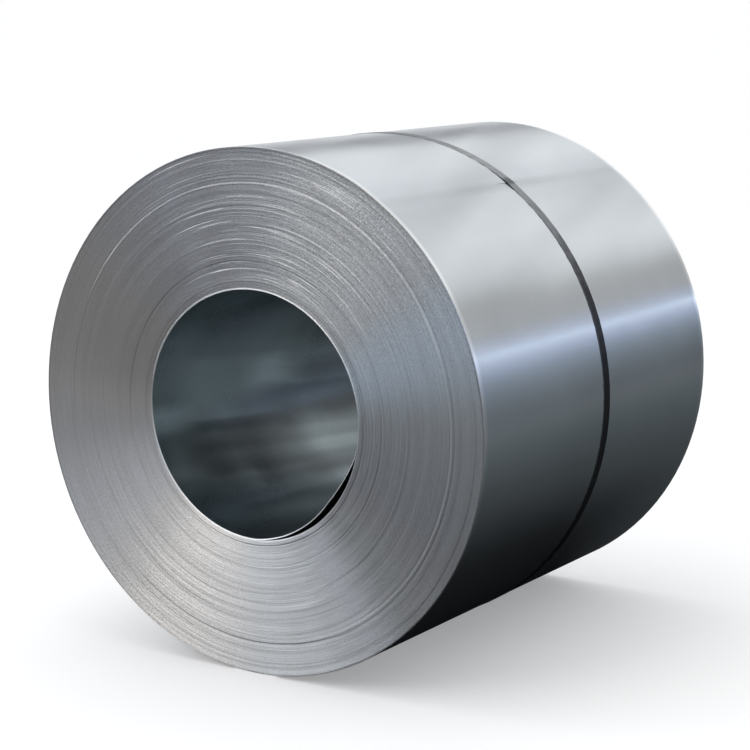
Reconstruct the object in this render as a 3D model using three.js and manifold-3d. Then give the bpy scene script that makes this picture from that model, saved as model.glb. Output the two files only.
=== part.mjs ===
// Coil of steel strip lying on its side, bound by one steel strap with a crimped seal.
// Millimetres, +Z up. The coil's axis runs along Y, and it rests on the floor at z = 0.
// Angles go round the axis in degrees, from +X towards +Z.
import * as THREE from 'three';
import { mergeVertices } from 'three/addons/utils/BufferGeometryUtils.js';
import Module from 'manifold-3d';

// Coil
const coilDiameter = 1080;    // over the end of the outermost turn
const boreDiameter = 508;     // inside the innermost turn, wound on a 20 inch mandrel
const stripWidth = 1000;
const stripGauge = 2;         // thickness of the strip, and so the height of each end's step
const tailAngle = 56;         // where the outermost turn ends
const headAngle = 350;        // where the innermost turn starts
// Groups of turns that lie together, from the bore out: how many turns, and how far the group
// has slid along the axis, towards -Y where it is positive. The last group fills the rest.
const turnGroups = [
  { turns: 6, slide: 1.5 },
  { turns: 1, slide: -1.5 },
  { turns: 20, slide: 0 },
  { turns: 2, slide: -1.5 },
  { turns: 30, slide: 0.5 },
  { turns: 45, slide: -0.5 },
  { turns: 2, slide: -1.5 },
  { turns: 3, slide: 1.5 },
  { turns: 2, slide: -0.5 },
  { turns: 5, slide: 1 },
  { turns: 17, slide: 0 },
  { turns: 10, slide: -1.5 },
];

// Loose stretch of the innermost turn, sprung inwards from the one behind it
const looseStart = 272;
const loosePeak = 320;
const looseEnd = 348;
const looseGap = 14;          // widest gap behind it

// Strap
const strapWidth = 25.4;      // 1 inch steel strapping
const strapGauge = 0.8;
const strapOffset = 11.5;     // from the middle of the strip's width, towards +Y
const jointAngle = 155;       // where the strap's two ends lie over each other
const lapLength = 76;

// Seal
const sealLength = 46;
const sealGauge = 1;
const sealLip = 8;            // how far each edge is folded back under the strap
const notchWidth = 5;
const notchDepth = 3.5;       // crimped into each edge of seal and strap
const notchPitch = 18;

const clearance = 0.3;        // between pieces that touch
const facets = 96;            // round the coil
const cutMargin = 10;         // how far a cutter reaches past what it cuts
const mergeDistance = 1e-5;   // below which two points of a mesh are one

const coilRadius = coilDiameter / 2;
const boreRadius = boreDiameter / 2;
// Radius of the coil's outside at the strap's joint
const jointRadius = coilAt(jointAngle);
const sealFloor = jointRadius + clearance;                     // underside of the seal's lips
const strapFloor = sealFloor + sealGauge + clearance;          // underside of the strap there
const sealHeight = 2 * (sealGauge + clearance + strapGauge);
const longestSlide = Math.max(...turnGroups.map((group) => Math.abs(group.slide)));
const throughLength = stripWidth + 2 * (longestSlide + cutMargin); // past both ends

const wasm = await Module();
wasm.setup();

// Solid from a closed geometry, for joining and cutting
function solidOf(geometry) {
  geometry.deleteAttribute('normal');
  geometry.deleteAttribute('uv');
  const merged = mergeVertices(geometry, mergeDistance);
  return new wasm.Manifold(new wasm.Mesh({
    numProp: 3,
    vertProperties: new Float32Array(merged.attributes.position.array),
    triVerts: new Uint32Array(merged.index.array),
  }));
}

// Geometry from a finished solid
function geometryOf(solid) {
  const { vertProperties, triVerts } = solid.getMesh();
  const geometry = new THREE.BufferGeometry();
  geometry.setAttribute('position', new THREE.BufferAttribute(vertProperties, 3));
  geometry.setIndex(new THREE.BufferAttribute(triVerts, 1));
  geometry.computeVertexNormals();
  return geometry;
}

// Point of the XZ plane at a radius and an angle
function polar(radius, degrees) {
  const angle = THREE.MathUtils.degToRad(degrees);
  return new THREE.Vector2(radius * Math.cos(angle), radius * Math.sin(angle));
}

// Solid of an outline in the XZ plane, as long as given along Y and centred on middle
function prism(outline, length, middle = 0, hole = null) {
  const shape = new THREE.Shape(outline);
  if (hole) shape.holes.push(new THREE.Path(hole));
  const geometry = new THREE.ExtrudeGeometry(shape, { depth: length, bevelEnabled: false });
  geometry.rotateX(Math.PI / 2);
  geometry.translate(0, middle + length / 2, 0);
  return solidOf(geometry);
}

// Radius of the coil's outside at an angle: a spiral that drops by one gauge at the tail
function coilAt(degrees) {
  const turned = THREE.MathUtils.euclideanModulo(degrees - tailAngle, 360) / 360;
  return coilRadius - stripGauge * turned;
}

function coilOutline() {
  const points = [];
  for (let i = 0; i < facets; i += 1) {
    const degrees = tailAngle + (360 * i) / facets;
    points.push(polar(coilAt(degrees), degrees));
  }
  points.push(polar(coilRadius - stripGauge, tailAngle));
  return points;
}

// How far the innermost turn has sprung inwards at an angle: evenly more up to the peak, and
// then bulging back to the turn behind it
function looseAt(degrees) {
  if (degrees <= looseStart || degrees >= looseEnd) return 0;
  if (degrees < loosePeak) return looseGap * (degrees - looseStart) / (loosePeak - looseStart);
  const fall = (degrees - loosePeak) / (looseEnd - loosePeak);
  return looseGap * Math.cos((Math.PI / 2) * fall);
}

// Radius of the bore at an angle, without the loose stretch
function boreAt(degrees) {
  const turned = THREE.MathUtils.euclideanModulo(degrees - headAngle, 360) / 360;
  return boreRadius + stripGauge * (1 - turned);
}

// Inside of the innermost turn: a spiral that steps in by one gauge at the head
function boreOutline() {
  const points = [polar(boreRadius, headAngle)];
  for (let i = 0; i < facets; i += 1) {
    const degrees = headAngle + (360 * i) / facets;
    const loose = looseAt(THREE.MathUtils.euclideanModulo(degrees, 360));
    points.push(polar(boreAt(degrees) - loose, degrees));
  }
  return points;
}

// Gap between the loose stretch and the turn behind it
function looseGapOutline() {
  const steps = Math.round((facets * (looseEnd - looseStart)) / 360);
  const stepAngle = (looseEnd - looseStart) / steps;
  const behind = [];
  const inFront = [];
  for (let i = 0; i <= steps; i += 1) {
    const degrees = looseStart + i * stepAngle;
    const radius = boreAt(degrees) + stripGauge;
    behind.push(polar(radius, degrees));
    if (i > 0 && i < steps) inFront.unshift(polar(radius - looseAt(degrees), degrees));
  }
  return [...behind, ...inFront];
}

// Section of the wound strip, a margin deeper than the loose stretch and wider than the coil,
// with the ends stepped where a group of turns has slid
function woundSection() {
  const front = [];
  const rear = [];
  let start = boreRadius - looseGap - cutMargin;
  let wound = boreRadius;
  for (const group of turnGroups) {
    const { turns, slide } = group;
    wound += turns * stripGauge;
    const full = group === turnGroups.at(-1) || wound > coilRadius - stripGauge;
    const end = full ? coilRadius + cutMargin : wound;
    front.push(new THREE.Vector2(start, -stripWidth / 2 - slide));
    front.push(new THREE.Vector2(end, -stripWidth / 2 - slide));
    rear.unshift(new THREE.Vector2(start, stripWidth / 2 - slide));
    rear.unshift(new THREE.Vector2(end, stripWidth / 2 - slide));
    if (full) break;
    start = end;
  }
  return [...front, ...rear, front[0].clone()];
}

function coil() {
  const wound = solidOf(new THREE.LatheGeometry(woundSection(), facets));
  return wound
    .intersect(prism(coilOutline(), throughLength))
    .subtract(prism(boreOutline(), throughLength))
    .subtract(prism(looseGapOutline(), throughLength));
}

// Frame at the strap's joint: x along the strap, y along the coil's axis, z outwards
function jointFrame() {
  const angle = THREE.MathUtils.degToRad(jointAngle);
  return new THREE.Matrix4().makeBasis(
    new THREE.Vector3(Math.sin(angle), 0, -Math.cos(angle)),
    new THREE.Vector3(0, 1, 0),
    new THREE.Vector3(Math.cos(angle), 0, Math.sin(angle)),
  ).multiply(new THREE.Matrix4().makeTranslation(0, strapOffset, 0));
}

// Solid of a geometry drawn in the joint's frame
function atJoint(geometry) {
  return solidOf(geometry.applyMatrix4(jointFrame()));
}

// Cutters for the notches crimped into both edges of the seal and the strap
function notches() {
  const edge = strapWidth / 2 + clearance + sealGauge;
  const cutters = [];
  for (const side of [-1, 1]) {
    for (const along of [-notchPitch / 2, notchPitch / 2]) {
      // A triangle twice as deep as the notch, half of it outside the edge
      const shape = new THREE.Shape([
        new THREE.Vector2(along, side * (edge - notchDepth)),
        new THREE.Vector2(along + notchWidth, side * (edge + notchDepth)),
        new THREE.Vector2(along - notchWidth, side * (edge + notchDepth)),
      ]);
      const depth = sealHeight + 2 * clearance;
      const geometry = new THREE.ExtrudeGeometry(shape, { depth, bevelEnabled: false });
      cutters.push(atJoint(geometry.translate(0, 0, sealFloor - clearance)));
    }
  }
  return cutters;
}

// Outline that a taut strap takes round points: their convex hull
function tautRound(points) {
  const sorted = [...points].sort((a, b) => a.x - b.x || a.y - b.y);
  const halfHull = (list) => {
    const hull = [];
    for (const point of list) {
      while (hull.length > 1) {
        const back = hull.at(-2).clone().sub(hull.at(-1));
        if (back.cross(point.clone().sub(hull.at(-1))) < 0) break;
        hull.pop();
      }
      hull.push(point);
    }
    return hull.slice(0, -1);
  };
  return [...halfHull(sorted), ...halfHull(sorted.reverse())];
}

// Outline moved away from the coil's axis
function grown(outline, distance) {
  return outline.map((point) => point.clone().setLength(point.length() + distance));
}

// The strap lies on the coil, spans the step at the tail and rises over the seal's lips
function strap() {
  const straight = polar(strapFloor, jointAngle);
  const along = polar(lapLength / 2 + strapGauge, jointAngle + 90);
  const lapEnds = [straight.clone().add(along), straight.clone().sub(along)];
  const inside = tautRound([...grown(coilOutline(), clearance), ...lapEnds]);
  const band = prism(grown(inside, strapGauge), strapWidth, strapOffset, inside);
  const lapFloor = strapFloor + strapGauge / 2; // reaches into the layer below
  const lapHeight = strapFloor + 2 * strapGauge - lapFloor;
  const lap = new THREE.BoxGeometry(lapLength, strapWidth, lapHeight);
  const solid = band.add(atJoint(lap.translate(0, 0, lapFloor + lapHeight / 2)));
  return notches().reduce((whole, notch) => whole.subtract(notch), solid);
}

// Sheet folded round both layers of the strap, with its lips underneath
function seal() {
  const outside = strapWidth / 2 + clearance + sealGauge;
  const inside = outside - sealGauge;
  const lipEdge = inside - sealLip;
  const top = sealFloor + sealHeight;
  const half = [[lipEdge, sealFloor], [outside, sealFloor], [outside, top]];
  const innerHalf = [[inside, top - sealGauge], [inside, sealFloor + sealGauge],
    [lipEdge, sealFloor + sealGauge]];
  const section = [
    ...half,
    ...half.map(([x, y]) => [-x, y]).reverse(),
    ...innerHalf.map(([x, y]) => [-x, y]).reverse(),
    ...innerHalf,
  ].map(([x, y]) => new THREE.Vector2(x, y));
  const geometry = new THREE.ExtrudeGeometry(new THREE.Shape(section), {
    depth: sealLength, bevelEnabled: false,
  });
  geometry.translate(0, 0, -sealLength / 2);
  // The section's x lies along the coil's axis, its y outwards
  geometry.applyMatrix4(new THREE.Matrix4().makeBasis(
    new THREE.Vector3(0, 1, 0), new THREE.Vector3(0, 0, 1), new THREE.Vector3(1, 0, 0),
  ));
  return notches().reduce((whole, notch) => whole.subtract(notch), atJoint(geometry));
}

function piece(name, solid, color, roughness, metalness) {
  const material = new THREE.MeshStandardMaterial({ color, roughness, metalness });
  material.name = name;
  const mesh = new THREE.Mesh(geometryOf(solid), material);
  mesh.name = name;
  return mesh;
}

const stock = new THREE.Group();
stock.add(piece('coil', coil(), 0x9b9fa4, 0.35, 1));
stock.add(piece('strap', strap(), 0x20242a, 0.5, 0.7));
stock.add(piece('strap_seal', seal(), 0x5f6469, 0.45, 0.9));

// Stand it on the floor, over the origin
const box = new THREE.Box3().setFromObject(stock);
const centre = box.getCenter(new THREE.Vector3());
stock.position.set(-centre.x, -centre.y, -box.min.z);

export default stock;
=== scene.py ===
"""Looks of a strapped coil of steel strip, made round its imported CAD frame.

Metres, +Z up. The coil's axis runs along Y. Angles go round the axis in degrees, from +X
towards +Z, as in the CAD source.
"""
import math

import bpy
import numpy as np
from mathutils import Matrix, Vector


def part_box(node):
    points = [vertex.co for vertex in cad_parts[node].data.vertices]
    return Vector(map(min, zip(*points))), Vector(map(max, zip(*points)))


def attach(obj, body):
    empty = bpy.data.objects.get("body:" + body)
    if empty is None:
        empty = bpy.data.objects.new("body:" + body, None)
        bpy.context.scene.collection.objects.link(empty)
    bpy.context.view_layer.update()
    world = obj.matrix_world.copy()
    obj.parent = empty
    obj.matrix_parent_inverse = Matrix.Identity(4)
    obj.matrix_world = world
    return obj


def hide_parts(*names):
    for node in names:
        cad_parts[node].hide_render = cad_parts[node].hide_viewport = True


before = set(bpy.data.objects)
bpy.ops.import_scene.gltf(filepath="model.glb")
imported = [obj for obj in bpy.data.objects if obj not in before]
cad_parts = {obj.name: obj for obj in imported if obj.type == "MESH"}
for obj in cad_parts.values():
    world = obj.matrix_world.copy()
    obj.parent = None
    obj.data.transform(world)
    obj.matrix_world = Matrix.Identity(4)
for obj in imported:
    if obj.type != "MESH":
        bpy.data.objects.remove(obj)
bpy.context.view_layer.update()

# ---------------------------------------------------------------- sizes, as the CAD has them
COIL_RADIUS = 0.540
BORE_RADIUS = 0.254
STRIP_WIDTH = 1.0
STRIP_GAUGE = 0.002
TAIL_ANGLE = 56.0
HEAD_ANGLE = 350.0
LOOSE_START, LOOSE_PEAK, LOOSE_END = 272.0, 320.0, 348.0
LOOSE_GAP = 0.014
# Groups of turns from the bore out: number of turns, slide towards -Y
TURN_GROUPS = (
    (6, 0.0015), (1, -0.0015), (20, 0.0), (2, -0.0015), (30, 0.0005), (45, -0.0005),
    (2, -0.0015), (3, 0.0015), (2, -0.0005), (5, 0.001), (17, 0.0), (10, -0.0015),
)

# ---------------------------------------------------------------- shape of the wound strip
SEED = 11
STEPS_PER_TURN = 120
WALL_PARTS, BORE_PARTS = 20, 10       # parts of the outside and of the bore along Y
WALL, BORE, EDGE = 0, 1, 2            # material slots of the coil
SHARP_ANGLE = 30.0
RIM_CHAMFER, BORE_CHAMFER = 0.0011, 0.0008
GROOVE = 0.0001           # from a turn's corner to the joint with the next turn
EDGE_LIMIT = 0.00148      # how far an edge may stand out past half the strip's width
TAIL_DROP = 0.00194       # how far the end of the outermost turn is rolled down,
TAIL_HELD = 0.5           # the share of that beneath the strap,
TAIL_EASE = 0.03          # and the length over which it grows beside the strap
SLIDE_SHARE = 0.36        # of a group's slide that its edges show
SLIDE_REACH = 1 / 8       # of a turn to each side, over which the strip goes from group to group
WANDER, WANDER_KNOTS = 0.00012, 5     # how far the strip's edge strays, and how often in a turn
LEAN = 0.00062            # how much further a turn's outer corner stands out than its inner one,
LEAN_TURN, LEAN_KNOTS = 0.00072, 4.7  # how much that changes from turn to turn, how often in one,
LEAN_GROUP = 0.00006      # and how much over groups of turns that lie alike:
SMALL_GROUPS, LARGE_GROUPS = (2.6, 9), (7.0, 5)   # turns across, and changes in a turn
UNREST_GAIN = 2.5         # how much more the small groups' lean changes where the turns do
# Along this line through the axis the lean changes by this share only, and more away from it
CALM_ANGLE, CALM_SHARE, CALM_POWER = 163.0, 0.05, 1.3
# How much a turn's lean changes: degrees round the end, share of the usual change
END_UNREST = (
    (0, 0.35), (20, 1.1), (40, 1.2), (60, 1.1), (75, 1.0), (90, 0.95), (105, 0.66), (135, 0.58),
    (165, 0.7), (225, 0.4), (255, 0.4), (280, 0.45), (300, 1.2), (315, 2.6), (330, 1.3),
    (345, 0.55), (360, 0.35),
)
# Arcs of single turns that lean their own way: radius as a share of the coil's, from and to
# which angle, and the lean in millimetres. A turn that leans out from the axis has a minus.
# Where two meet, the later one counts. An arc fades in and out over this share of a turn.
ARC_FADE = 0.03
FRONT_ARCS = (
    (0.998, 60, 230, 0.8), (0.992, 5, 200, 0.95), (0.967, 10, 288, 0.9), (0.940, 57, 72, -0.35),
    (0.930, 60, 71, -0.3), (0.918, 58, 69, -0.35), (0.908, 80, 125, 0.9), (0.900, 44, 54, -0.3),
    (0.890, 65, 128, 0.15), (0.878, 38, 120, 0.95), (0.870, 12, 155, -0.25),
    (0.866, 12, 145, -0.1), (0.872, 228, 296, -0.3), (0.800, 78, 114, 0.0), (0.787, 84, 118, 0.9),
    (0.785, 225, 262, 0.1), (0.765, 236, 251, 1.0), (0.760, 80, 108, 0.0), (0.720, 71, 84, -0.2),
    (0.715, 54, 62, -0.4), (0.712, 232, 260, 0.9), (0.702, 72, 84, -0.2), (0.683, 42, 70, -0.4),
    (0.660, 74, 116, 0.0), (0.613, 28, 50, -0.3), (0.600, 66, 122, 0.1), (0.582, 14, 360, 1.0),
    (0.574, 54, 73, -0.3), (0.555, 100, 126, 0.0), (0.545, 62, 76, -0.3), (0.530, 72, 98, 0.0),
    (0.504, 20, 330, 1.0), (0.497, 10, 180, 1.2), (0.497, 190, 340, -0.4), (0.486, 5, 170, 0.9),
    (0.482, 5, 170, 0.5), (0.478, 5, 170, -0.6), (0.474, 5, 170, -0.7), (0.486, 190, 350, 0.7),
    (0.482, 190, 350, 0.9), (0.478, 190, 350, 0.9), (0.474, 190, 350, 0.8),
    (0.955, 288, 332, 0.15), (0.925, 292, 336, 1.0), (0.905, 300, 345, 0.25),
    (0.830, 296, 332, 0.15), (0.750, 302, 336, 1.0), (0.640, 300, 338, 0.2),
    (0.600, 296, 344, 1.0), (0.560, 300, 348, 0.15), (0.530, 306, 350, 1.0),
    (0.690, 286, 330, 1.0), (0.8615, 326, 366, 0.62), (0.8652, 326, 366, 0.62),
    (0.876, 344, 366, 0.62), (0.8615, 8, 36, -0.35),
)
REAR_ARCS = (
    (0.985, 40, 300, 0.9), (0.930, 100, 420, -0.8), (0.870, 200, 560, 0.9),
    (0.760, 60, 150, -0.9), (0.700, 230, 330, 0.8), (0.640, 20, 340, -0.8),
    (0.560, 90, 200, -0.9), (0.490, 0, 360, 0.8),
)
# Short arcs at random places, in the same terms: how many, and between which values they lie
DASH_COUNT = 60
DASH_RADII, DASH_STARTS = (0.49, 0.985), (48.0, 100.0)
DASH_LENGTHS, DASH_LEANS = (5, 26), (-0.5, 0.15)

# ---------------------------------------------------------------- patterns on the metal
NOISE_LOW, NOISE_HIGH = 0.3, 0.7      # between these lie most of a noise's values
BUCKLE = 0.010            # height of the outermost turn's shallow waves
SMEAR_SLANT = 0.6         # how far the smears outside turn in a metre along Y,
PAINTED_LIGHT_SLANT = 0.384       # and the painted light and shade in the bore
# How torn the sheared edges are: degrees round the end, share of the burrs
END_BURRS = (
    (0, 0.08), (15, 0.42), (30, 0.78), (45, 1.0), (60, 1.4), (75, 1.15), (90, 0.95), (105, 0.65),
    (120, 0.6), (135, 0.55), (150, 0.3), (165, 0.1), (180, 0.05), (195, 0.28), (210, 0.55),
    (225, 0.8), (240, 1.2), (255, 0.85), (270, 0.5), (285, 0.3), (300, 0.4), (315, 0.45),
    (330, 0.35), (345, 0.25), (360, 0.08),
)
GRAIN = 0.0008            # height of the burrs where that share is 1,
SPARKLE = 1.2             # and how much their tone strays there
LINE_RELIEF = 0.0005      # height of the lines along the turns
# Painted light and shade round the sheared edges, with bluish and warm tints: degrees round the
# end, and how much of the metal's own tone shows
END_PAINTED_LIGHT = (
    (0, (1.0, 1.0, 1.0)), (20, (1.10, 1.16, 1.21)), (42, (1.03, 1.03, 1.04)),
    (74, (0.94, 0.94, 0.94)), (88, (0.82, 0.82, 0.83)), (102, (0.82, 0.81, 0.82)),
    (117, (0.99, 0.98, 1.01)), (150, (1.16, 1.11, 1.08)), (176, (1.11, 1.06, 1.02)),
    (192, (0.91, 0.88, 0.86)), (225, (0.95, 0.93, 0.92)), (242, (1.10, 1.07, 1.05)),
    (262, (1.09, 1.07, 1.06)), (275, (1.02, 1.03, 1.03)), (284, (0.96, 0.96, 0.95)),
    (292, (1.00, 1.01, 1.01)), (306, (1.22, 1.23, 1.26)), (318, (1.00, 1.00, 1.00)),
    (332, (0.93, 0.92, 0.93)), (360, (1.0, 1.0, 1.0)),
)
# Joints between turns that hold dark oil and dirt: radius as a share of the coil's, and how
# much of the metal's own tone is left there
DIRTY_JOINTS = (
    (0.494, 0.55), (0.504, 0.60), (0.582, 0.60), (0.715, 0.80), (0.787, 0.75),
    (0.878, 0.65), (0.908, 0.75), (0.967, 0.60), (0.9925, 0.35), (0.9985, 0.45),
)
JOINT_REACH = 0.0028      # how far the dirt reaches to each side, in the same share
# Painted light and shade in the bore at its mouth, in its near half and in its far half: degrees
# round it and how much of the metal's own tone shows, less in painted shade, more in painted
# highlights
BORE_MOUTH_PAINTED_LIGHT = (
    (0, 1.0), (60, 0.9), (140, 1.5), (160, 1.9), (171, 1.3), (184, 1.0), (194, 0.86), (202, 1.6),
    (206, 1.5), (213, 0.9), (223, 1.4), (232, 2.0), (238, 1.6), (247, 1.15), (264, 1.05),
    (360, 1.0),
)
BORE_NEAR_PAINTED_LIGHT = (
    (0, 0.9), (60, 0.8), (140, 1.45), (152, 1.2), (160, 0.96), (173, 1.02), (178, 1.3),
    (187, 1.26), (196, 1.2), (203, 1.14), (205.3, 1.02), (207.3, 0.56), (209.5, 0.48),
    (214, 0.68), (216, 0.64), (219.5, 0.50), (225, 0.66), (229, 0.62), (232, 0.70), (237, 1.36),
    (244, 1.5), (250, 1.0), (256, 0.45), (270, 0.8), (360, 0.9),
)
BORE_FAR_PAINTED_LIGHT = (
    (0, 0.9), (60, 0.9), (100, 0.6), (130, 0.7), (160, 1.25), (175, 1.6), (180, 1.08),
    (183, 0.80), (189, 0.66), (193, 0.37), (203, 0.36), (211, 0.57), (214, 0.67), (220, 0.58),
    (223.5, 0.77), (227, 0.71), (232, 0.46), (240, 0.34), (250, 0.90), (262, 0.45), (285, 0.6),
    (330, 0.8), (360, 0.9),
)
MOUTH_TO_NEAR, NEAR_TO_FAR = (-0.47, -0.33), (-0.24, 0.03)   # where along Y each gives way
# Painted patches in the bore, a highlight and a shade: y, degrees round it, how much more of the
# tone shows in the middle, and how far from there the patch ends and how far it is whole, along Y
# and in degrees
PAINTED_HIGHLIGHT_PATCH = (-0.06, 185.0, 1.0, (0.16, 0.0), (12, 2))
PAINTED_SHADE_PATCH = (-0.12, 221.0, -0.36, (0.16, 0.06), (30, 19))

# ---------------------------------------------------------------- sizes of the stage
# Camera: direction from the coil, and in coil radii its distance and shift aside and up
CAMERA_AZIMUTH, CAMERA_ELEVATION = 32.69, 10.10
CAMERA_DISTANCE, CAMERA_ASIDE, CAMERA_UP = 8.677, -0.0413, 0.0151
CAMERA_LENS, CAMERA_SENSOR = 101.9, 36.0
WHITE, BLACK = (1.0, 1.0, 1.0, 1.0), (0.0, 0.0, 0.0, 1.0)
FLOOR_REACH = 300.0
FLOOR_LIFT = 0.29         # light added to the floor's own where it is seen, so that it is white
SHADE_SHEET_HEIGHT, PANEL_HEIGHT = 0.004, 0.008
SCREEN_X, SCREEN_HEIGHT, SCREEN_REACH = 3.4, 2.0, 15   # bluish screen on the right
# Lamps: name, size, place, what it faces, radiance and colour
FRONT_BOX = (
    "front_box", (2.5, 1.6), (-1.12, -4.2, 2.9), (0.0, -0.5, 0.54), 1.9, (1.0, 0.99, 0.98))
OVERHEAD = ("overhead", (2.4, 2.4), (-0.6, 0.4, 4.4), (0.0, 0.0, 0.5), 1.3, (1.0, 1.0, 1.0))
BAR = ("bar", (16.0, 0.06), (SCREEN_X - 0.1, 2.0, 1.47), (0.0, 2.0, 0.7), 1.5, (0.80, 0.90, 1.0))
BAND_DRIFT = 0.55         # how far the bands of light behind wander
# Those bands: degrees round the Y axis and the light there
BANDS = (
    (34, (0.54, 0.54, 0.54)), (56, (0.98, 0.99, 1.00)), (72, (0.96, 0.97, 0.98)),
    (83, (0.93, 0.94, 0.95)), (93, (0.82, 0.83, 0.85)), (104, (0.86, 0.88, 0.90)),
    (118, (0.96, 0.98, 1.00)), (141, (1.03, 1.04, 1.05)), (151, (0.10, 0.11, 0.14)),
    (160, (0.26, 0.27, 0.30)), (171, (1.04, 1.04, 1.04)),
)
# Fan of light in front. Its foot is given as slopes aside and up against -Y. The stops are
# degrees round the foot and the light there, near the foot and further out. Between these two
# slopes from the foot the first gives way to the other.
FAN_FOOT = (0.64, 0.21)
FAN_SLOPES = (0.35, 0.75)
FAN_NEAR = (
    (0, (0.55, 0.59, 0.64)), (18, (1.40, 1.75, 2.20)), (33, (1.30, 1.40, 1.52)),
    (55, (0.92, 0.90, 0.88)), (75, (0.32, 0.32, 0.32)), (92, (0.14, 0.14, 0.14)),
    (118, (0.24, 0.24, 0.23)), (145, (0.40, 0.37, 0.34)), (180, (0.44, 0.42, 0.40)),
)
FAN_FAR = (
    (0, (0.26, 0.26, 0.28)), (22, (0.60, 0.72, 0.92)), (34, (0.62, 0.66, 0.74)),
    (50, (0.66, 0.63, 0.58)), (62, (0.98, 0.92, 0.84)), (78, (1.02, 0.99, 0.96)),
    (96, (0.74, 0.74, 0.75)), (110, (0.80, 0.82, 0.85)), (120, (2.00, 2.10, 2.25)),
    (134, (3.40, 3.55, 3.80)), (141, (1.80, 1.85, 1.95)), (145, (0.28, 0.28, 0.28)),
    (180, (0.28, 0.28, 0.28)),
)

# ---------------------------------------------------------------- sizes that follow
whole_turns = int((COIL_RADIUS - BORE_RADIUS) / STRIP_GAUGE - 1.0)
TURNS = whole_turns + ((HEAD_ANGLE - TAIL_ANGLE) % 360.0) / 360.0   # from the tail to the head
PITCH = (COIL_RADIUS - BORE_RADIUS) / (TURNS + 1.0)
COUNT = int(round(TURNS * STEPS_PER_TURN)) + 1                      # points along the strip
LAST = COUNT - 1


def coil_radius_at(degrees):
    """Outside of the coil, which drops by one pitch in a turn from the tail."""
    return COIL_RADIUS - PITCH * (((degrees - TAIL_ANGLE) % 360.0) / 360.0)


coil_low, coil_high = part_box("coil")
AXIS_X = (coil_low[0] + coil_high[0] + coil_radius_at(180.0) - coil_radius_at(0.0)) / 2
AXIS_Z = (coil_low[2] + coil_high[2] + coil_radius_at(270.0) - coil_radius_at(90.0)) / 2
AXIS_Y = (coil_low[1] + coil_high[1]) / 2
strap_low, strap_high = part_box("strap")
STRAP_Y = (strap_low[1] + strap_high[1]) / 2


# ---------------------------------------------------------------- camera
def make_camera():
    azimuth, elevation = math.radians(CAMERA_AZIMUTH), math.radians(CAMERA_ELEVATION)
    back = Vector((
        math.sin(azimuth) * math.cos(elevation),
        -math.cos(azimuth) * math.cos(elevation),
        math.sin(elevation),
    ))
    right = Vector((math.cos(azimuth), math.sin(azimuth), 0.0))
    up = back.cross(right)
    data = bpy.data.cameras.new("camera")
    data.sensor_width = CAMERA_SENSOR
    data.lens = CAMERA_LENS
    data.clip_end = 1000.0
    camera = bpy.data.objects.new("camera", data)
    camera.location = (
        Vector((AXIS_X, AXIS_Y, AXIS_Z)) + back * (CAMERA_DISTANCE * COIL_RADIUS)
        + right * (CAMERA_ASIDE * COIL_RADIUS) + up * (CAMERA_UP * COIL_RADIUS)
    )
    camera.rotation_mode = "QUATERNION"
    camera.rotation_quaternion = (-back).to_track_quat("-Z", "Y")
    bpy.context.scene.collection.objects.link(camera)
    bpy.context.scene.camera = camera


# ---------------------------------------------------------------- node helpers
def new_material(name):
    material = bpy.data.materials.new(name)
    material.use_nodes = True
    tree = material.node_tree
    tree.nodes.clear()
    shader = tree.nodes.new("ShaderNodeBsdfPrincipled")
    output = tree.nodes.new("ShaderNodeOutputMaterial")
    tree.links.new(shader.outputs["BSDF"], output.inputs["Surface"])
    return material, tree, shader


def set_inputs(shader, values):
    for name, value in values.items():
        shader.inputs[name].default_value = value


def add(tree, kind, settings=(), **inputs):
    """A node with its settings and inputs; an input is a value or another node's output."""
    node = tree.nodes.new(kind)
    for key, value in dict(settings).items():
        setattr(node, key, value)
    for key, value in inputs.items():
        numbered = key[0] == "i" and key[1:].isdigit()
        socket = node.inputs[int(key[1:])] if numbered else node.inputs[key]
        if isinstance(value, bpy.types.NodeSocket):
            tree.links.new(value, socket)
        else:
            socket.default_value = value
    return node


def math_node(tree, operation, *values):
    inputs = {f"i{index}": value for index, value in enumerate(values)}
    return add(tree, "ShaderNodeMath", {"operation": operation}, **inputs).outputs[0]


def sum_of_parts(tree, one, share, other, other_share):
    """Two values added, each times its share."""
    return math_node(
        tree, "ADD",
        math_node(tree, "MULTIPLY", one, share),
        math_node(tree, "MULTIPLY", other, other_share),
    )


def distance(tree, value, centre):
    """How far a value lies from another one."""
    return math_node(tree, "ABSOLUTE", math_node(tree, "SUBTRACT", value, centre))


def outside(tree, value, limit):
    """How far a value lies beyond plus or minus a limit, or 0 within them."""
    beyond = math_node(tree, "SUBTRACT", math_node(tree, "ABSOLUTE", value), limit)
    return math_node(tree, "MAXIMUM", beyond, 0.0)


def spread(tree, value, start, end, low, high, smooth=False):
    """A value's run from start to end turned into one from low to high, and held there beyond."""
    settings = {"interpolation_type": "SMOOTHSTEP"} if smooth else ()
    return add(
        tree, "ShaderNodeMapRange", settings, Value=value, i1=start, i2=end, i3=low, i4=high,
    ).outputs[0]


def noise(tree, place, scale, detail, **inputs):
    node = add(tree, "ShaderNodeTexNoise", Vector=place, Scale=scale, Detail=detail, **inputs)
    return node.outputs[0]


def stretched(tree, turn_x, turn_z, round_scale, across, across_scale):
    """A place for noise that is scaled round the coil and across it."""
    return add(
        tree, "ShaderNodeCombineXYZ",
        i0=math_node(tree, "MULTIPLY", turn_x, round_scale),
        i1=math_node(tree, "MULTIPLY", across, across_scale),
        i2=math_node(tree, "MULTIPLY", turn_z, round_scale),
    ).outputs[0]


def ramp(tree, factor, *stops, interpolation="LINEAR"):
    node = add(tree, "ShaderNodeValToRGB", i0=factor)
    node.color_ramp.interpolation = interpolation
    elements = node.color_ramp.elements
    while len(elements) < len(stops):
        elements.new(0.5)
    for element, (position, value) in zip(elements, stops):
        element.position = position
        element.color = (*value, 1.0) if isinstance(value, tuple) else (value, value, value, 1.0)
    return node.outputs["Color"]


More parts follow.
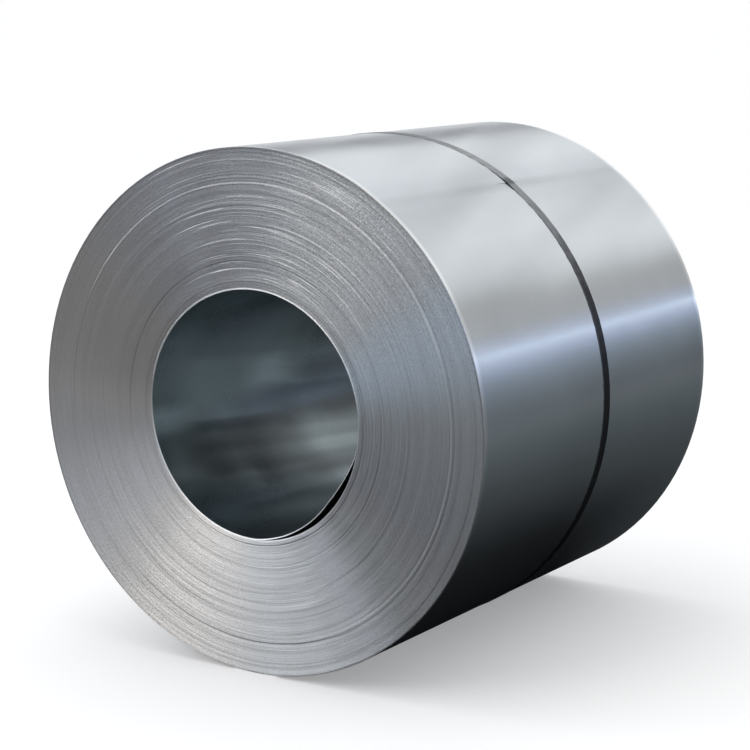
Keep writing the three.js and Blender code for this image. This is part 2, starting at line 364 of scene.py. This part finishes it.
def by_degrees(tree, factor, stops, whole, interpolation="LINEAR"):
    """A ramp whose stops are given in degrees, with the degrees at which the factor is 1."""
    shares = ((degrees / whole, value) for degrees, value in stops)
    return ramp(tree, factor, *shares, interpolation=interpolation)


def mixed(tree, factor, one, other):
    return add(tree, "ShaderNodeMix", {"data_type": "RGBA"}, i0=factor, i6=one, i7=other).outputs[2]


def scaled(tree, colour, gain):
    """A colour times a number."""
    node = add(tree, "ShaderNodeVectorMath", {"operation": "SCALE"}, i0=colour, Scale=gain)
    return node.outputs[0]


def tinted(tree, colour, tint):
    """A colour times another colour."""
    node = add(tree, "ShaderNodeVectorMath", {"operation": "MULTIPLY"}, i0=colour, i1=tint)
    return node.outputs[0]


def object_place(tree):
    return add(tree, "ShaderNodeTexCoord").outputs["Object"]


def around_axis(tree):
    """(radius, direction x, direction z, y) of the shaded point about the coil's axis."""
    split = add(tree, "ShaderNodeSeparateXYZ", i0=object_place(tree)).outputs
    x = math_node(tree, "SUBTRACT", split[0], AXIS_X)
    z = math_node(tree, "SUBTRACT", split[2], AXIS_Z)
    squares = math_node(
        tree, "ADD", math_node(tree, "MULTIPLY", x, x), math_node(tree, "MULTIPLY", z, z))
    radius = math_node(tree, "SQRT", squares)
    return (
        radius,
        math_node(tree, "DIVIDE", x, radius),
        math_node(tree, "DIVIDE", z, radius),
        split[1],
    )


def share_of_turn(tree, turn):
    """An angle in radians as a share of the full circle, 0 to 1."""
    return math_node(tree, "FRACT", math_node(tree, "DIVIDE", turn, 2.0 * math.pi))


def link_metal(tree, shader, colour, roughness, anisotropy=None):
    """Gives a bare metal its colour and roughness, and with anisotropy a grain round the coil."""
    tree.links.new(colour, shader.inputs["Base Color"])
    tree.links.new(roughness, shader.inputs["Roughness"])
    shader.inputs["Metallic"].default_value = 1.0
    if anisotropy is not None:
        set_inputs(shader, {"Anisotropic": anisotropy, "Anisotropic Rotation": 0.25})
        tangent = add(tree, "ShaderNodeTangent", {"direction_type": "RADIAL", "axis": "Y"})
        tree.links.new(tangent.outputs[0], shader.inputs["Tangent"])


# ---------------------------------------------------------------- materials
def rolled_face():
    """The flat of the strip: smooth cold-rolled steel, rolled along its length."""
    material, tree, shader = new_material("rolled_face")
    _, turn_x, turn_z, along = around_axis(tree)
    turn = math_node(tree, "ARCTAN2", turn_z, turn_x)
    grain = noise(tree, stretched(tree, turn_x, turn_z, 0.9, along, 160.0), 1.0, 3.0)
    cloud = noise(tree, object_place(tree), 3.0, 3.0)
    tone = sum_of_parts(tree, grain, 0.2, cloud, 0.8)
    colour = ramp(
        tree, tone, (NOISE_LOW, (0.578, 0.613, 0.638)), (NOISE_HIGH, (0.652, 0.687, 0.710)))

    # Smears and shallow waves, which lie over the coil's top
    on_top = spread(tree, turn_z, 0.40, 0.68, 0.02, 1.0)
    slanted = math_node(tree, "MULTIPLY_ADD", along, -SMEAR_SLANT, turn)
    smear_place = stretched(
        tree, math_node(tree, "COSINE", slanted), math_node(tree, "SINE", slanted), 3.6, along, 1.1)
    smear = noise(tree, smear_place, 1.0, 1.0, Distortion=0.3)
    smear = math_node(tree, "MULTIPLY", math_node(tree, "SUBTRACT", smear, 0.47), on_top)
    haze = spread(tree, smear, -0.15, 0.15, 0.90, 1.09)

    # Painted shade: a soft dark line along the tail's step, which is deepest beside the strap
    off_tail = distance(tree, turn, math.radians(TAIL_ANGLE - 0.7))
    seam_shade_depth = spread(tree, distance(tree, along, STRAP_Y), 0.08, 0.3, 0.85, 0.94, smooth=True)
    painted_seam_shade = spread(tree, off_tail, 0.0, 0.045, seam_shade_depth, 1.0, smooth=True)
    hazed_and_shaded = scaled(tree, colour, math_node(tree, "MULTIPLY", haze, painted_seam_shade))
    # Painted highlight along both outer rims of the flank
    painted_rim_highlight = spread(tree, math_node(tree, "ABSOLUTE", along), 0.482, 0.498, 0.0, 0.9, smooth=True)
    colour = mixed(tree, painted_rim_highlight, hazed_and_shaded, (0.90, 0.905, 0.91, 1.0))

    buckles = noise(tree, smear_place, 0.8, 1.0, Distortion=0.6)
    waves = add(tree, "ShaderNodeBump", Strength=1.0, Distance=BUCKLE,
                Height=math_node(tree, "MULTIPLY", buckles, on_top)).outputs[0]
    bump = add(tree, "ShaderNodeBump", Strength=0.012, Distance=0.0002, Height=grain, Normal=waves)
    tree.links.new(bump.outputs[0], shader.inputs["Normal"])
    rough = spread(tree, tone, NOISE_LOW, NOISE_HIGH, 0.17, 0.25)
    link_metal(tree, shader, colour, rough, anisotropy=0.5)
    return material


def bore_face():
    """The inside of the bore, with painted highlights and painted shade round it and along it."""
    material, tree, shader = new_material("bore_face")
    _, turn_x, turn_z, along = around_axis(tree)
    cloud = noise(tree, object_place(tree), 6.0, 3.0)
    turn = math_node(tree, "MULTIPLY_ADD", cloud, 0.12, math_node(tree, "ARCTAN2", turn_z, turn_x))
    turn = math_node(tree, "MULTIPLY_ADD", along, -PAINTED_LIGHT_SLANT, turn)
    turned = share_of_turn(tree, turn)
    mouth, near, far = (
        by_degrees(tree, turned, gains, 360, interpolation="EASE")
        for gains in (BORE_MOUTH_PAINTED_LIGHT, BORE_NEAR_PAINTED_LIGHT, BORE_FAR_PAINTED_LIGHT)
    )
    inside = spread(tree, along, *MOUTH_TO_NEAR, 0.0, 1.0, smooth=True)
    deep = spread(tree, along, *NEAR_TO_FAR, 0.0, 1.0, smooth=True)
    # Painted shade, growing deeper into the bore
    painted_depth_shade = spread(tree, along, 0.04, 0.30, 1.0, 0.6)

    def patch(at_y, at_angle, gain, lengths, angles):
        """1 plus the patch's gain, which eases off to nothing at its end."""
        along_share = spread(tree, distance(tree, along, at_y), *lengths, 0.0, 1.0, smooth=True)
        shares_round = (degrees / 360 for degrees in angles)
        off_round = distance(tree, turned, at_angle / 360)
        round_share = spread(tree, off_round, *shares_round, 0.0, 1.0, smooth=True)
        both = math_node(tree, "MULTIPLY", along_share, round_share)
        return math_node(tree, "ADD", math_node(tree, "MULTIPLY", both, gain), 1.0)

    # Painted light and shade round and along the bore, with a painted highlight patch and a painted
    # shade patch
    painted_bore_light = mixed(tree, deep, mixed(tree, inside, mouth, near), far)
    for gain in (painted_depth_shade, patch(*PAINTED_HIGHLIGHT_PATCH), patch(*PAINTED_SHADE_PATCH)):
        painted_bore_light = math_node(tree, "MULTIPLY", painted_bore_light, gain)
    colour = ramp(
        tree, cloud, (NOISE_LOW, (0.310, 0.364, 0.382)), (NOISE_HIGH, (0.390, 0.453, 0.473)))
    rough = spread(tree, cloud, NOISE_LOW, NOISE_HIGH, 0.24, 0.32)
    link_metal(tree, shader, scaled(tree, colour, painted_bore_light), rough)
    return material


def sheared_edge():
    """The strip's sheared edges, turn beside turn: a grooved face that fans the light."""
    material, tree, shader = new_material("sheared_edge")
    radius, turn_x, turn_z, _ = around_axis(tree)
    turn = math_node(tree, "ARCTAN2", turn_z, turn_x)
    turned = share_of_turn(tree, turn)

    def arcs(round_scale, across_scale, detail, **inputs):
        """Noise drawn out into arcs round the coil."""
        place = stretched(tree, turn_x, turn_z, round_scale, radius, across_scale)
        return noise(tree, place, 1.0, detail, **inputs)

    lines = arcs(1.6, 260.0, 4.0, Roughness=0.6)
    dashes = arcs(6.0, 420.0, 2.0)
    tone = sum_of_parts(tree, lines, 0.6, dashes, 0.4)
    colour = ramp(
        tree, tone, (NOISE_LOW, (0.57, 0.58, 0.59)), (0.5, (0.60, 0.61, 0.62)),
        (NOISE_HIGH, (0.64, 0.65, 0.66)),
    )

    # Specks all over, and burrs where the edges are torn
    specks = noise(tree, object_place(tree), 430.0, 2.0, Roughness=0.7)
    specks = spread(tree, specks, NOISE_LOW, NOISE_HIGH, 0.94, 1.06)
    uneven = by_degrees(tree, turned, END_BURRS, 360)
    sparks = math_node(tree, "SUBTRACT", arcs(130.0, 420.0, 2.0, Roughness=0.6), 0.5)
    torn = math_node(tree, "MULTIPLY", uneven, SPARKLE)
    sparkle = math_node(tree, "MULTIPLY_ADD", sparks, torn, 1.0)
    colour = scaled(tree, colour, math_node(tree, "MULTIPLY", specks, sparkle))

    # Dirty joints, wiped clean in places and along the calm line
    stops = [(0.0, 1.0)]
    for share, left in DIRTY_JOINTS:
        stops += [(share - JOINT_REACH, 1.0), (share, left), (share + JOINT_REACH, 1.0)]
    clean = ramp(tree, math_node(tree, "DIVIDE", radius, COIL_RADIUS), *stops)
    wiped = spread(tree, lines, 0.35, 0.62, 0.0, 0.75)
    off_calm = math_node(tree, "SUBTRACT", turn, math.radians(CALM_ANGLE))
    across = math_node(tree, "ABSOLUTE", math_node(tree, "SINE", off_calm))
    calm = spread(tree, across, 0.15, 0.6, 0.85, 0.0)
    clean = mixed(tree, math_node(tree, "MAXIMUM", wiped, calm), clean, WHITE)
    soiled = tinted(tree, colour, clean)

    # Painted light and shade round the end, and a painted highlight on the corner at the bore
    end_with_painted_light = tinted(tree, soiled, by_degrees(tree, turned, END_PAINTED_LIGHT, 360, interpolation="EASE"))
    painted_rim_highlight = spread(
        tree, radius, BORE_RADIUS + 0.0052, BORE_RADIUS + 0.0022, 0.0, 0.9, smooth=True)
    colour = mixed(tree, painted_rim_highlight, end_with_painted_light, (0.92, 0.925, 0.93, 1.0))

    burrs = math_node(tree, "MULTIPLY", uneven, GRAIN)
    relief = math_node(tree, "MULTIPLY", tone, LINE_RELIEF)
    height = math_node(tree, "MULTIPLY_ADD", arcs(90.0, 330.0, 2.0), burrs, relief)
    bump = add(tree, "ShaderNodeBump", Strength=1.0, Distance=1.0, Height=height)
    tree.links.new(bump.outputs[0], shader.inputs["Normal"])
    rough = spread(tree, tone, NOISE_LOW, NOISE_HIGH, 0.52, 0.40)
    link_metal(tree, shader, colour, rough, anisotropy=0.7)
    return material


def strap_enamel():
    """Blue-black strapping, worn along its edges, with painted light: lighter where it faces up,
    near black below.
    """
    material, tree, shader = new_material("strap_enamel")
    _, turn_x, turn_z, along = around_axis(tree)
    cloud = noise(tree, object_place(tree), 30.0, 5.0, Roughness=0.65)
    strayed = math_node(tree, "MULTIPLY", math_node(tree, "SUBTRACT", cloud, 0.5), 0.5)
    # Painted light and shade: lighter towards the coil's top, near black towards its bottom
    colour = ramp(
        tree, math_node(tree, "ADD", turn_z, strayed),
        (0.18, (0.011, 0.013, 0.017)), (0.44, (0.019, 0.021, 0.028)),
        (0.58, (0.10, 0.105, 0.115)), (0.74, (0.22, 0.23, 0.24)),
        (0.88, (0.29, 0.30, 0.31)), (0.97, (0.22, 0.225, 0.235)),
    )
    turn = math_node(tree, "ARCTAN2", turn_z, turn_x)
    # Painted shade where the strap bends over the tail's step
    off_bend = distance(tree, turn, math.radians(TAIL_ANGLE + 0.3))
    painted_bend_shade = spread(tree, off_bend, 0.008, 0.03, 0.75, 0.0, smooth=True)
    colour = mixed(tree, painted_bend_shade, colour, (0.02, 0.022, 0.028, 1.0))
    aside = math_node(tree, "MULTIPLY_ADD", cloud, 0.0012, distance(tree, along, STRAP_Y))
    worn = spread(tree, aside, 0.0118, 0.0134, 0.0, 0.35, smooth=True)
    colour = mixed(tree, worn, colour, (0.42, 0.43, 0.44, 1.0))
    link_metal(tree, shader, colour, spread(tree, cloud, NOISE_LOW, NOISE_HIGH, 0.26, 0.42))
    return material


def seal_sheet():
    """Dull grey sheet of the strap's seal."""
    material, tree, shader = new_material("seal_sheet")
    cloud = noise(tree, object_place(tree), 90.0, 4.0)
    colour = ramp(tree, cloud, (0.35, (0.30, 0.31, 0.32)), (NOISE_HIGH, (0.44, 0.45, 0.46)))
    link_metal(tree, shader, colour, spread(tree, cloud, NOISE_LOW, NOISE_HIGH, 0.35, 0.5))
    return material


# ---------------------------------------------------------------- coil
def loose_at(degrees):
    """How far the innermost turn has sprung inwards at an angle."""
    degrees = degrees % 360.0
    rise = (degrees - LOOSE_START) / (LOOSE_PEAK - LOOSE_START)
    fall = np.cos(math.pi / 2 * (degrees - LOOSE_PEAK) / (LOOSE_END - LOOSE_PEAK))
    inside = (degrees > LOOSE_START + 1e-6) & (degrees < LOOSE_END - 1e-6)
    return np.where(inside, LOOSE_GAP * np.where(degrees < LOOSE_PEAK, rise, fall), 0.0)


def eased(blend):
    return blend * blend * (3.0 - 2.0 * blend)


def strip_noise(random, spacing):
    """Values along the strip in -1 to 1, with a new random knot every so many steps."""
    knots = random.uniform(-1.0, 1.0, int(COUNT / spacing) + 3)
    places = np.arange(COUNT) / spacing
    left = places.astype(int)
    blend = eased(places - left)
    return knots[left] * (1.0 - blend) + knots[left + 1] * blend


def patch_noise(random, across, turned, knots_round):
    """Smooth values in -1 to 1 over a plane that closes on itself once round the coil."""
    rows = int(across.max()) + 3
    knots = random.uniform(-1.0, 1.0, (rows, knots_round))
    places = (turned % 1.0) * knots_round
    left, low = places.astype(int) % knots_round, across.astype(int)
    right = (left + 1) % knots_round
    u, v = eased(places - np.floor(places)), eased(across - low)
    near = knots[low, left] * (1.0 - u) + knots[low, right] * u
    far = knots[low + 1, left] * (1.0 - u) + knots[low + 1, right] * u
    return near * (1.0 - v) + far * v


def edge_slides(random):
    """How far the strip's edge has slid towards -Y at each step from the tail to the head."""
    from_head = (LAST - np.arange(COUNT)) / STEPS_PER_TURN
    slides = np.zeros(COUNT)
    start = 0.0
    for turns, slide in TURN_GROUPS:
        slides[from_head >= start] = slide * SLIDE_SHARE
        start += turns
    reach = int(STEPS_PER_TURN * SLIDE_REACH)
    padded = np.pad(slides, reach, mode="edge")
    slides = np.convolve(padded, np.ones(2 * reach + 1) / (2 * reach + 1), mode="valid")
    slides += WANDER * strip_noise(random, STEPS_PER_TURN / WANDER_KNOTS)
    return slides


def edge_lean(random, arcs):
    """How much further a turn's outer corner stands out than its inner one, at each step."""
    turned = np.arange(COUNT) / STEPS_PER_TURN
    off_calm = 2.0 * math.pi * turned + math.radians(TAIL_ANGLE - CALM_ANGLE)
    across = (np.sin(off_calm) ** 2) ** CALM_POWER
    unrest = CALM_SHARE + (1.0 - CALM_SHARE) * across
    unrest *= np.interp((TAIL_ANGLE + 360.0 * turned) % 360.0, *zip(*END_UNREST))
    lean = LEAN + LEAN_TURN * unrest * strip_noise(random, STEPS_PER_TURN / LEAN_KNOTS)
    for (turns, knots), gain in ((SMALL_GROUPS, 1.0 + UNREST_GAIN * unrest), (LARGE_GROUPS, 1.0)):
        lean += LEAN_GROUP * gain * patch_noise(random, turned / turns, turned, knots)
    dashes = [
        (random.uniform(*DASH_RADII), start,
         start + random.uniform(*DASH_LENGTHS), random.uniform(*DASH_LEANS))
        for start in random.uniform(*DASH_STARTS, DASH_COUNT)
    ]
    for radius, start, end, amount in (*dashes, *arcs):
        ahead = ((start - TAIL_ANGLE) % 360.0) / 360.0
        first = round((1.0 - radius) * COIL_RADIUS / PITCH - 0.5 - ahead) + ahead
        length = (end - start) / 360.0
        soft = min(ARC_FADE, length / 3)
        rise = np.clip((turned - first) / soft, 0, 1)
        inside = rise * np.clip((first + length - turned) / soft, 0, 1)
        lean += (amount * 0.001 - lean) * eased(inside)
    return lean


def strip_points():
    """The strip's points in rows along it, and the steps at which there is a gap behind it.

    Rows fo, fi, ro and ri are the outer and inner corners of the front and rear edges. Rows w0,
    w1 and on lie side by side over the outermost turn, and rows b0, b1 and on in the bore. A
    row's array holds the number of its point at each step.
    """
    random = np.random.RandomState(SEED)
    index = np.arange(COUNT)
    degrees = TAIL_ANGLE + 360.0 * index / STEPS_PER_TURN
    angle = np.radians(degrees)
    outer = COIL_RADIUS - PITCH * index / STEPS_PER_TURN
    inner = outer - PITCH
    feather = TAIL_DROP * np.clip(1.0 - index / 2.0, 0.0, 1.0)
    loose = np.where(index > LAST - STEPS_PER_TURN, loose_at(degrees), 0.0)
    slides = edge_slides(random)
    front_lean = edge_lean(random, FRONT_ARCS)
    rear_lean = edge_lean(random, REAR_ARCS)
    half = STRIP_WIDTH / 2
    outer_inset = np.where(index <= STEPS_PER_TURN, RIM_CHAMFER, GROOVE)
    inner_inset = np.where(index >= LAST - STEPS_PER_TURN, BORE_CHAMFER, GROOVE)
    outer_corner = outer - feather - outer_inset - loose
    inner_corner = inner + inner_inset - loose
    points, rows = [], {}

    def row(name, which, radius, y):
        y = np.clip(y, -half - EDGE_LIMIT, half + EDGE_LIMIT)
        rows[name] = np.full(COUNT, -1)
        rows[name][which] = sum(map(len, points)) + np.arange(len(which))
        points.append(np.stack([
            AXIS_X + radius * np.cos(angle[which]),
            AXIS_Y + y,
            AXIS_Z + radius * np.sin(angle[which]),
        ], axis=1))

    front, rear = -half - slides, half - slides
    row("fo", index, outer_corner, front - front_lean / 2)
    row("fi", index, inner_corner, front + front_lean / 2)
    row("ro", index, outer_corner, rear + rear_lean / 2)
    row("ri", index, inner_corner, rear - rear_lean / 2)
    outermost, innermost = index[: STEPS_PER_TURN + 1], index[LAST - STEPS_PER_TURN:]
    for part in range(WALL_PARTS + 1):
        low, high = front[outermost] + RIM_CHAMFER, rear[outermost] - RIM_CHAMFER
        y = low + (high - low) * (part / WALL_PARTS)
        beside = eased(np.clip(abs(y - STRAP_Y) / TAIL_EASE - 0.5, 0.0, 1.0))
        drop = feather[outermost] * (TAIL_HELD + (1.0 - TAIL_HELD) * beside)
        row(f"w{part}", outermost, outer[outermost] - drop, y)
    for part in range(BORE_PARTS + 1):
        low, high = front[innermost] + BORE_CHAMFER, rear[innermost] - BORE_CHAMFER
        y = low + (high - low) * (part / BORE_PARTS)
        row(f"b{part}", innermost, (inner - loose)[innermost], y)
    return np.concatenate(points), rows, (loose[:-1] > 0) | (loose[1:] > 0)


def strip_faces(rows, gapped):
    """The strip's faces as numbers of points, and the material slot of each."""
    steps = STEPS_PER_TURN
    index = np.arange(LAST)
    faces, slots = [], []

    def quads(a, b, c, d, slot):
        faces.extend(zip(a.tolist(), b.tolist(), c.tolist(), d.tolist()))
        slots.extend([slot] * len(a))

    def band(one, two, at, slot, offset=0):
        """Quads between two rows at the given steps, the second row offset along the strip."""
        a, b = rows[one], rows[two]
        quads(a[at], a[at + 1], b[at + 1 + offset], b[at + offset], slot)

    def face(slot, *corners):
        """One face through the points of the given rows and steps."""
        faces.append(tuple(rows[name][step] for name, step in corners))
        slots.append(slot)

    band("fo", "fi", index, EDGE)                              # sheared edges, front and rear
    band("ri", "ro", index, EDGE)
    n = index[: LAST - steps]                                  # steps with a turn inside them
    shut, open_ = n[~gapped[n + steps]], n[gapped[n + steps]]
    band("fi", "fo", shut, EDGE, steps)                        # grooves between turns
    quads(rows["ri"][shut + 1], rows["ri"][shut],
          rows["ro"][shut + steps], rows["ro"][shut + 1 + steps], EDGE)
    band("fi", "ri", open_, BORE)                              # both walls of the loose gap
    band("ro", "fo", open_ + steps, BORE)
    for end, order in ((open_[0], 1), (open_[-1] + 1, -1)):    # its two ends
        loop = (("fo", end + steps), ("ro", end + steps), ("ri", end), ("fi", end))
        face(BORE, *loop[::order])
    n = index[:steps]                                          # outside, with its two chamfers
    wall_end = f"w{WALL_PARTS}"
    band("w0", "fo", n, EDGE)
    band("ro", wall_end, n, EDGE)
    for part in range(WALL_PARTS):
        band(f"w{part + 1}", f"w{part}", n, WALL)
    n = index[LAST - steps:]                                   # bore, with its two chamfers
    bore_end = f"b{BORE_PARTS}"
    band("fi", "b0", n, EDGE)
    band(bore_end, "ri", n, EDGE)
    for part in range(BORE_PARTS):
        band(f"b{part}", f"b{part + 1}", n, BORE)
    for part in range(WALL_PARTS):                             # tail
        near, far = f"w{part}", f"w{part + 1}"
        face(EDGE, (near, 0), (far, 0), (far, steps), (near, steps))
    face(EDGE, ("fi", 0), ("fo", 0), ("w0", 0), ("w0", steps), ("fo", steps))
    face(EDGE, ("ro", 0), ("ri", 0), ("ro", steps), (wall_end, steps), (wall_end, 0))
    behind = LAST - steps                                      # head
    for part in range(BORE_PARTS):
        near, far = f"b{part}", f"b{part + 1}"
        face(EDGE, (far, LAST), (near, LAST), (near, behind), (far, behind))
    face(EDGE, ("b0", LAST), ("fi", LAST), ("fo", LAST), ("fi", behind), ("b0", behind))
    face(EDGE, ("ri", LAST), (bore_end, LAST), (bore_end, behind), ("ri", behind), ("ro", LAST))
    return faces, slots


def add_coil():
    """One strip wound from the tail in to the head, as one closed mesh with every turn's edge."""
    points, rows, gapped = strip_points()
    faces, slots = strip_faces(rows, gapped)
    mesh = bpy.data.meshes.new("strip_coil")
    mesh.from_pydata(points.tolist(), [], faces)
    mesh.polygons.foreach_set("material_index", slots)
    for material in (rolled_face(), bore_face(), sheared_edge()):
        mesh.materials.append(material)
    mesh.shade_smooth()
    mesh.set_sharp_from_angle(angle=math.radians(SHARP_ANGLE))
    coil = bpy.data.objects.new("strip_coil", mesh)
    bpy.context.scene.collection.objects.link(coil)
    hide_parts("coil")
    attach(coil, "root")


# ---------------------------------------------------------------- stage
def stage_sheet(name, corners, material, only_reflected=True):
    """A flat sheet of the stage; one that is only reflected is hidden from all but glossy rays."""
    mesh = bpy.data.meshes.new(name)
    mesh.from_pydata(corners, [], [tuple(range(len(corners)))])
    mesh.materials.append(material)
    sheet = bpy.data.objects.new(name, mesh)
    bpy.context.scene.collection.objects.link(sheet)
    if only_reflected:
        sheet.visible_camera = False
        sheet.visible_diffuse = False
        sheet.visible_shadow = False


def shining_material(name):
    """A material that only gives light, whose colour is still to be set."""
    material, tree, shader = new_material(name)
    set_inputs(shader, {"Base Color": BLACK, "Specular IOR Level": 0.0, "Emission Strength": 1.0})
    return material, tree, shader


def background_rays(tree):
    """1 for the rays that show the background: camera, glossy and transmission rays."""
    path = add(tree, "ShaderNodeLightPath").outputs
    glossy = math_node(tree, "MAXIMUM", path["Is Camera Ray"], path["Is Glossy Ray"])
    return math_node(tree, "MAXIMUM", glossy, path["Is Transmission Ray"])


def add_floor():
    """A pale floor that shows white and keeps the coil's shadow."""
    material, tree, shader = new_material("floor")
    set_inputs(shader, {
        "Base Color": (0.80, 0.80, 0.80, 1.0), "Roughness": 0.9, "Specular IOR Level": 0.0,
        "Emission Color": WHITE,
    })
    lift = math_node(tree, "MULTIPLY", background_rays(tree), FLOOR_LIFT)
    tree.links.new(lift, shader.inputs["Emission Strength"])
    far = FLOOR_REACH
    corners = [(-far, -far, 0), (far, -far, 0), (far, far, 0), (-far, far, 0)]
    stage_sheet("floor", corners, material, only_reflected=False)


def add_painted_shade_sheet():
    """Dark sheet under and round the coil, which only the metal reflects: painted shade, with a
    painted shadow darkest beneath the coil.
    """
    material, tree, shader = new_material("painted_shade_sheet")
    place = add(tree, "ShaderNodeSeparateXYZ", i0=object_place(tree)).outputs
    aside = outside(tree, place[0], 0.5)
    drawn_out = spread(tree, place[1], 0.0, 0.5, 0.35, 0.45)
    along = math_node(tree, "MULTIPLY", outside(tree, place[1], 0.5), drawn_out)
    squares = math_node(
        tree, "ADD",
        math_node(tree, "POWER", aside, 2.0),
        math_node(tree, "POWER", along, 2.0),
    )
    reach = 4.0
    # Painted shadow: darkest beneath the coil, paler further off
    colour = ramp(
        tree, math_node(tree, "DIVIDE", math_node(tree, "SQRT", squares), reach),
        (0.0, (0.022, 0.024, 0.025)), (0.30 / reach, (0.065, 0.072, 0.074)),
        (0.8 / reach, (0.103, 0.117, 0.121)), (1.7 / reach, (0.17, 0.184, 0.192)),
    )
    ahead = spread(tree, place[1], -0.6, -1.4, 0.0, 1.0)
    warmth = mixed(tree, ahead, WHITE, (1.22, 1.08, 0.98, 1.0))
    tree.links.new(tinted(tree, colour, warmth), shader.inputs["Base Color"])
    set_inputs(shader, {"Roughness": 1.0, "Specular IOR Level": 0.0})
    corners = [(x, y, SHADE_SHEET_HEIGHT) for x, y in ((-7, -12), (7, -12), (7, 11), (-7, 11))]
    stage_sheet("painted_shade_sheet", corners, material)


def add_blue_screen():
    """Bluish screen along the right side, bright towards its top, which only the metal reflects."""
    material, tree, shader = shining_material("blue_screen")
    place = add(tree, "ShaderNodeSeparateXYZ", i0=object_place(tree)).outputs
    colour = ramp(
        tree, math_node(tree, "DIVIDE", place[2], SCREEN_HEIGHT),
        (0.0, (0.16, 0.175, 0.19)), (0.25, (0.22, 0.25, 0.28)), (0.47, (0.34, 0.39, 0.48)),
        (0.68, (0.68, 0.76, 0.98)), (0.755, (0.66, 0.73, 0.92)), (1.0, (0.53, 0.55, 0.61)),
    )
    ahead = spread(tree, place[1], -0.6, -1.6, 0.0, 1.0)
    dimmed = mixed(tree, ahead, WHITE, (0.90, 0.80, 0.68, 1.0))
    tree.links.new(tinted(tree, colour, dimmed), shader.inputs["Emission Color"])
    x, far, top = SCREEN_X, SCREEN_REACH, SCREEN_HEIGHT
    corners = [(x, -far, 0.0), (x, far, 0.0), (x, far, top), (x, -far, top)]
    stage_sheet("blue_screen", corners, material)


def add_floor_panel():
    """Pale blue panel on the floor to the left of the end, which only the metal reflects."""
    material, _, shader = shining_material("floor_panel")
    set_inputs(shader, {"Emission Color": (0.62, 0.84, 1.12, 1.0)})
    places = ((-1.15, -1.3), (-2.1, -1.1), (-4.0, -3.0), (-3.0, -3.8))
    stage_sheet("floor_panel", [(x, y, PANEL_HEIGHT) for x, y in places], material)


def add_lamp(name, size, location, target, radiance, colour, mirrored=True):
    """A soft box that isn't seen itself, and that the metal mirrors unless told otherwise."""
    data = bpy.data.lights.new(name, "AREA")
    data.shape = "RECTANGLE"
    data.size, data.size_y = size
    data.energy = radiance * math.pi * size[0] * size[1]
    data.color = colour
    lamp = bpy.data.objects.new(name, data)
    lamp.location = location
    direction = Vector(target) - Vector(location)
    lamp.rotation_mode = "QUATERNION"
    lamp.rotation_quaternion = direction.to_track_quat("-Z", "Y")
    lamp.visible_camera = False
    lamp.visible_glossy = mirrored
    bpy.context.scene.collection.objects.link(lamp)


def make_world():
    """A plain pale studio, white round the horizon.

    Behind the coil the light lies in soft bands parallel to Y. In front of it a soft fan of
    light opens upwards from one direction near the floor.
    """
    world = bpy.data.worlds.new("studio")
    bpy.context.scene.world = world
    world.use_nodes = True
    tree = world.node_tree
    tree.nodes.clear()
    direction = add(tree, "ShaderNodeTexCoord").outputs["Generated"]
    x, y, z = add(tree, "ShaderNodeSeparateXYZ", i0=direction).outputs

    drift = math_node(tree, "SUBTRACT", noise(tree, direction, 4.0, 2.0), 0.5)
    turn = math_node(
        tree, "ADD",
        math_node(tree, "ARCTAN2", z, x),
        math_node(tree, "MULTIPLY", drift, BAND_DRIFT),
    )
    half_turned = math_node(tree, "DIVIDE", turn, math.pi)
    bands = by_degrees(tree, half_turned, BANDS, 180, interpolation="EASE")

    fan_up = math_node(tree, "MULTIPLY_ADD", y, -FAN_FOOT[1], z)
    fan_aside = math_node(tree, "MULTIPLY_ADD", y, -FAN_FOOT[0], x)
    fan_turned = math_node(tree, "DIVIDE", math_node(tree, "ARCTAN2", fan_up, fan_aside), math.pi)
    near, far = (by_degrees(tree, fan_turned, stops, 180) for stops in (FAN_NEAR, FAN_FAR))
    squares = math_node(
        tree, "MULTIPLY_ADD", fan_up, fan_up, math_node(tree, "MULTIPLY", fan_aside, fan_aside))
    ahead = math_node(tree, "MAXIMUM", math_node(tree, "MULTIPLY", y, -1.0), 0.05)
    slope = math_node(tree, "DIVIDE", math_node(tree, "SQRT", squares), ahead)
    fan = mixed(tree, spread(tree, slope, *FAN_SLOPES, 0.0, 1.0), near, far)

    sides = mixed(tree, spread(tree, y, 0.15, -0.2, 0.0, 1.0), bands, fan)
    colour = mixed(tree, spread(tree, z, 0.04, 0.11, 0.0, 1.0), WHITE, sides)
    background = add(tree, "ShaderNodeBackground", Color=colour, Strength=1.0)
    output = add(tree, "ShaderNodeOutputWorld")
    tree.links.new(background.outputs[0], output.inputs["Surface"])


# ---------------------------------------------------------------- the scene
make_camera()
add_coil()
for node, material in (("strap", strap_enamel()), ("strap_seal", seal_sheet())):
    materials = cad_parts[node].data.materials
    materials.clear()
    materials.append(material)
add_floor()
add_painted_shade_sheet()
add_blue_screen()
add_floor_panel()
add_lamp(*FRONT_BOX)
add_lamp(*OVERHEAD, mirrored=False)
add_lamp(*BAR)
make_world()
bpy.context.scene.view_settings.view_transform = "Standard"
